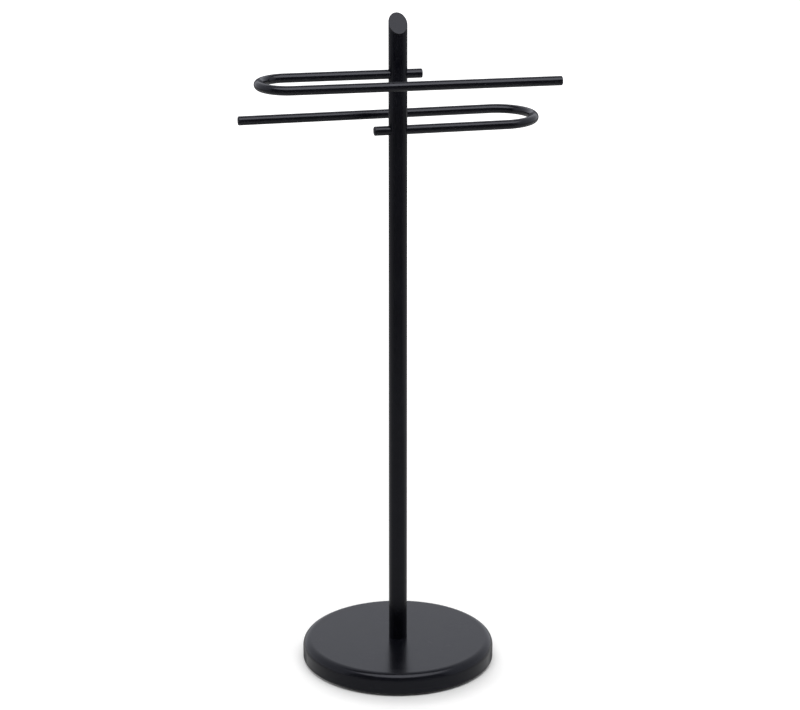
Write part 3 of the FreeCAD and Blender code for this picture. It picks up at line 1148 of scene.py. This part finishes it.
class STAND_OT_set_screws(bpy.types.Operator):
    """Make the socket set screws that hold the rails from behind"""
    bl_idname = "towel_stand.set_screws"
    bl_label = "Set Screws"

    def execute(self, context):
        made = settings()
        pattern = new_object("set_screw_pattern", set_screw_mesh(made.fixings))
        end = made.fixings.screw_end
        piece = plain_object("rail_set_screw_pair", [(0, end, made.rails.lower_z),
                                                     (0, end, made.rails.upper_z)])
        run_tree(piece, repeat_tree(), {"Fixing": pattern, "Turn": (-math.pi / 2, 0.0, 0.0),
                                        "Finish": finish_for("blackened_steel")})
        settle(piece)
        bpy.data.objects.remove(pattern)
        finish_piece(piece, "blackened_steel", "rail_set_screws")
        return {"FINISHED"}


class STAND_OT_inner_parts(bpy.types.Operator):
    """Give the weight, plug, plate, bolt and washers their own finish"""
    bl_idname = "towel_stand.inner_parts"
    bl_label = "Inner Parts"

    kept = {
        "base_weight": "cast_filling",
        "post_seat_plate": "zinc_plate",
        "post_foot_plug": "plain_steel",
        "base_bolt": "zinc_fixing",
        "base_flat_washer": "zinc_fixing",
        "base_spring_washer": "zinc_fixing",
    }

    def execute(self, context):
        for node, slot in self.kept.items():
            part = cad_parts[node]
            part.data.materials.clear()
            part.data.materials.append(finish_for(slot))
        return {"FINISHED"}


# ---------------------------------------------------------------- stage

WHITE = (1.0, 1.0, 1.0, 1.0)


def seen_directly(tree):
    """1 for the rays that show the background to the eye, straight or through glass."""
    path = place(tree, "ShaderNodeLightPath").outputs
    return math_of(tree, "MAXIMUM", path["Is Camera Ray"], path["Is Transmission Ray"])


def floor_material():
    """Pale floor that keeps the real shadow, with a painted shadow round the stand: its glow is
    left out near the stand and fades in away from it, up to white.
    """
    stage = settings().stage
    material = bpy.data.materials.new("pale_floor")
    tree = cleared_tree(material)
    lit = place(tree, "ShaderNodeBsdfDiffuse", {"Color": opaque(stage.floor_colour)}).outputs[0]
    # Distance from the middle of the painted shadow, a little in front of the post.
    ahead = place(tree, "ShaderNodeVectorMath",
                  {0: own_place(tree), 1: (0.0, stage.painted_shadow_ahead, 0.0)},
                  operation="ADD").outputs[0]
    reach = place(tree, "ShaderNodeVectorMath", {0: ahead}, operation="LENGTH").outputs["Value"]
    # Painted shadow: no glow near the stand, rising to the near glow at its edge; further out
    # the glow grows to keep the floor white.
    near = spread(tree, reach, stage.painted_shadow_fade_start, stage.painted_shadow_fade_end, 0.0, stage.near_glow)
    far = spread(tree, reach, stage.painted_shadow_fade_end, stage.floor_size / 2, 0.0,
                 1.0 - stage.near_glow)
    glow = place(tree, "ShaderNodeEmission",
                 {"Color": WHITE, "Strength": math_of(tree, "ADD", near, far)}).outputs[0]
    both = place(tree, "ShaderNodeAddShader", {0: lit, 1: glow}).outputs[0]
    shown = place(tree, "ShaderNodeMixShader",
                  {0: seen_directly(tree), 1: lit, 2: both}).outputs[0]
    clear = place(tree, "ShaderNodeBsdfTransparent").outputs[0]
    behind = place(tree, "ShaderNodeNewGeometry").outputs["Backfacing"]
    sided = place(tree, "ShaderNodeMixShader", {0: behind, 1: shown, 2: clear}).outputs[0]
    place(tree, "ShaderNodeOutputMaterial", {"Surface": sided})
    return material


def make_floor(stage):
    """Round floor, open inside the non-slip ring so that light reaches the underside."""
    steps = 96
    opening = RING_HIGH.x - settings().base.ring_width / 2
    corners = (circle(opening, steps, -stage.floor_drop)
               + circle(stage.floor_size, steps, -stage.floor_drop))
    faces = [(i, steps + i, steps + (i + 1) % steps, (i + 1) % steps) for i in range(steps)]
    floor = plain_object("floor", corners, faces=faces)
    floor.data.materials.append(floor_material())


def studio_world():
    """White where it is seen, slightly cool in gloss, and a soft light for the rest."""
    stage = settings().stage
    world = bpy.data.worlds.new("studio")
    tree = cleared_tree(world)
    in_gloss = place(tree, "ShaderNodeLightPath").outputs["Is Glossy Ray"]
    shown = mix_values(tree, seen_directly(tree), stage.world_level, 1.0)
    sky = place(tree, "ShaderNodeBackground", {
        "Color": mix_colours(tree, in_gloss, WHITE, opaque(stage.gloss_tint)),
        "Strength": mix_values(tree, in_gloss, shown, stage.gloss_level)})
    place(tree, "ShaderNodeOutputWorld", {"Surface": sky.outputs[0]})
    return world


def board_material():
    """Dark boards of the studio, paler near the floor."""
    stage = settings().stage
    material, tree, inputs = new_material("dark_board")
    height = place(tree, "ShaderNodeSeparateXYZ", {0: own_place(tree)}).outputs[2]
    fade = spread(tree, height, stage.foot_start, stage.foot_end)
    wire(tree, inputs, {"Base Color": mix_colours(tree, fade, opaque(stage.screen_foot),
                                                  opaque(stage.screen_colour)),
                        "Roughness": 0.9})
    return material


def dark_board(name, corners, faces, material):
    """A board that darkens reflections and that the camera doesn't see."""
    board = plain_object(name, corners, faces=faces)
    board.data.materials.append(material)
    board.visible_camera = False
    return board


def dark_boards(stage):
    """Curved screen round the front, and a board above and behind."""
    material = board_material()
    steps = 24
    low, high = [], []
    for step in range(steps + 1):
        angle = -math.pi / 2 + stage.screen_turn + stage.screen_spread * (2 * step / steps - 1)
        x = stage.screen_reach * math.cos(angle)
        y = stage.screen_reach * math.sin(angle)
        low.append((x, y, 0.0))
        high.append((x, y, stage.screen_height))
    faces = [(i, i + 1, steps + i + 2, steps + i + 1) for i in range(steps)]
    dark_board("dark_screen", low + high, faces, material)
    half, z = stage.ceiling_half, stage.ceiling_height
    near, back = stage.ceiling_start, stage.ceiling_depth
    ceiling = dark_board("dark_ceiling", [(-half, near, z), (half, near, z),
                                          (half, back, z), (-half, back, z)],
                         [(0, 1, 2, 3)], material)
    ceiling.visible_diffuse = False
    ceiling.visible_shadow = False


def area_lamp(name, place_at, aim, width, depth, power):
    light = bpy.data.lights.new(name, "AREA")
    light.shape = "RECTANGLE"
    light.size = width
    light.size_y = depth
    light.energy = power
    lamp = new_object(name, light)
    lamp.location = place_at
    lamp.rotation_euler = (Vector(aim) - Vector(place_at)).to_track_quat("-Z", "Y").to_euler()
    lamp.visible_camera = False


def make_camera(stage):
    camera = bpy.data.cameras.new("camera")
    camera.sensor_width = 36.0
    camera.lens = stage.lens
    camera.shift_x = stage.shift
    eye = new_object("camera", camera)
    side = stage.camera_side
    eye.location = (-stage.camera_distance * math.sin(side),
                    -stage.camera_distance * math.cos(side), stage.camera_height)
    eye.rotation_euler = (math.pi / 2 - stage.camera_tilt, 0.0, -side)
    return eye


class STAND_OT_stage(bpy.types.Operator):
    """Make the floor, the soft studio light and the camera"""
    bl_idname = "towel_stand.stage"
    bl_label = "Stage"

    def execute(self, context):
        stage = settings().stage
        scene = bpy.context.scene
        make_floor(stage)
        scene.world = studio_world()
        dark_boards(stage)
        area_lamp("overhead_softbox", stage.softbox_spot, (0.0, 0.0, 0.0),
                  stage.softbox_width, stage.softbox_depth, stage.softbox_power)
        area_lamp("front_strip", stage.strip_spot, stage.strip_aim,
                  stage.softbox_width, stage.strip_depth, stage.strip_power)
        scene.camera = make_camera(stage)
        scene.view_settings.view_transform = "Standard"
        return {"FINISHED"}


# ---------------------------------------------------------------- add-on

OPERATORS = (
    STAND_OT_base_cover,
    STAND_OT_bottom_plate,
    STAND_OT_non_slip_ring,
    STAND_OT_post,
    STAND_OT_top_cap,
    STAND_OT_rails,
    STAND_OT_set_screws,
    STAND_OT_inner_parts,
    STAND_OT_stage,
)


class STAND_PT_panel(bpy.types.Panel):
    """Lists the pieces of the stand"""
    bl_idname = "STAND_PT_panel"
    bl_label = "Towel Stand"
    bl_space_type = "VIEW_3D"
    bl_region_type = "UI"
    bl_category = "Towel Stand"

    def draw(self, context):
        for operator in OPERATORS:
            self.layout.operator(operator.bl_idname)


CLASSES = (
    PostSettings,
    RailSettings,
    BaseSettings,
    FixingSettings,
    FinishSettings,
    StageSettings,
    StandSettings,
) + OPERATORS + (STAND_PT_panel,)


def register():
    for item in CLASSES:
        bpy.utils.register_class(item)
    bpy.types.Scene.towel_stand = PointerProperty(type=StandSettings)


def unregister():
    del bpy.types.Scene.towel_stand
    for item in reversed(CLASSES):
        bpy.utils.unregister_class(item)


def main():
    register()
    bpy.ops.towel_stand.base_cover()
    bpy.ops.towel_stand.bottom_plate()
    bpy.ops.towel_stand.non_slip_ring()
    bpy.ops.towel_stand.post()
    bpy.ops.towel_stand.top_cap()
    bpy.ops.towel_stand.rails()
    bpy.ops.towel_stand.set_screws()
    bpy.ops.towel_stand.inner_parts()
    bpy.ops.towel_stand.stage()


if __name__ == "__main__":
    main()
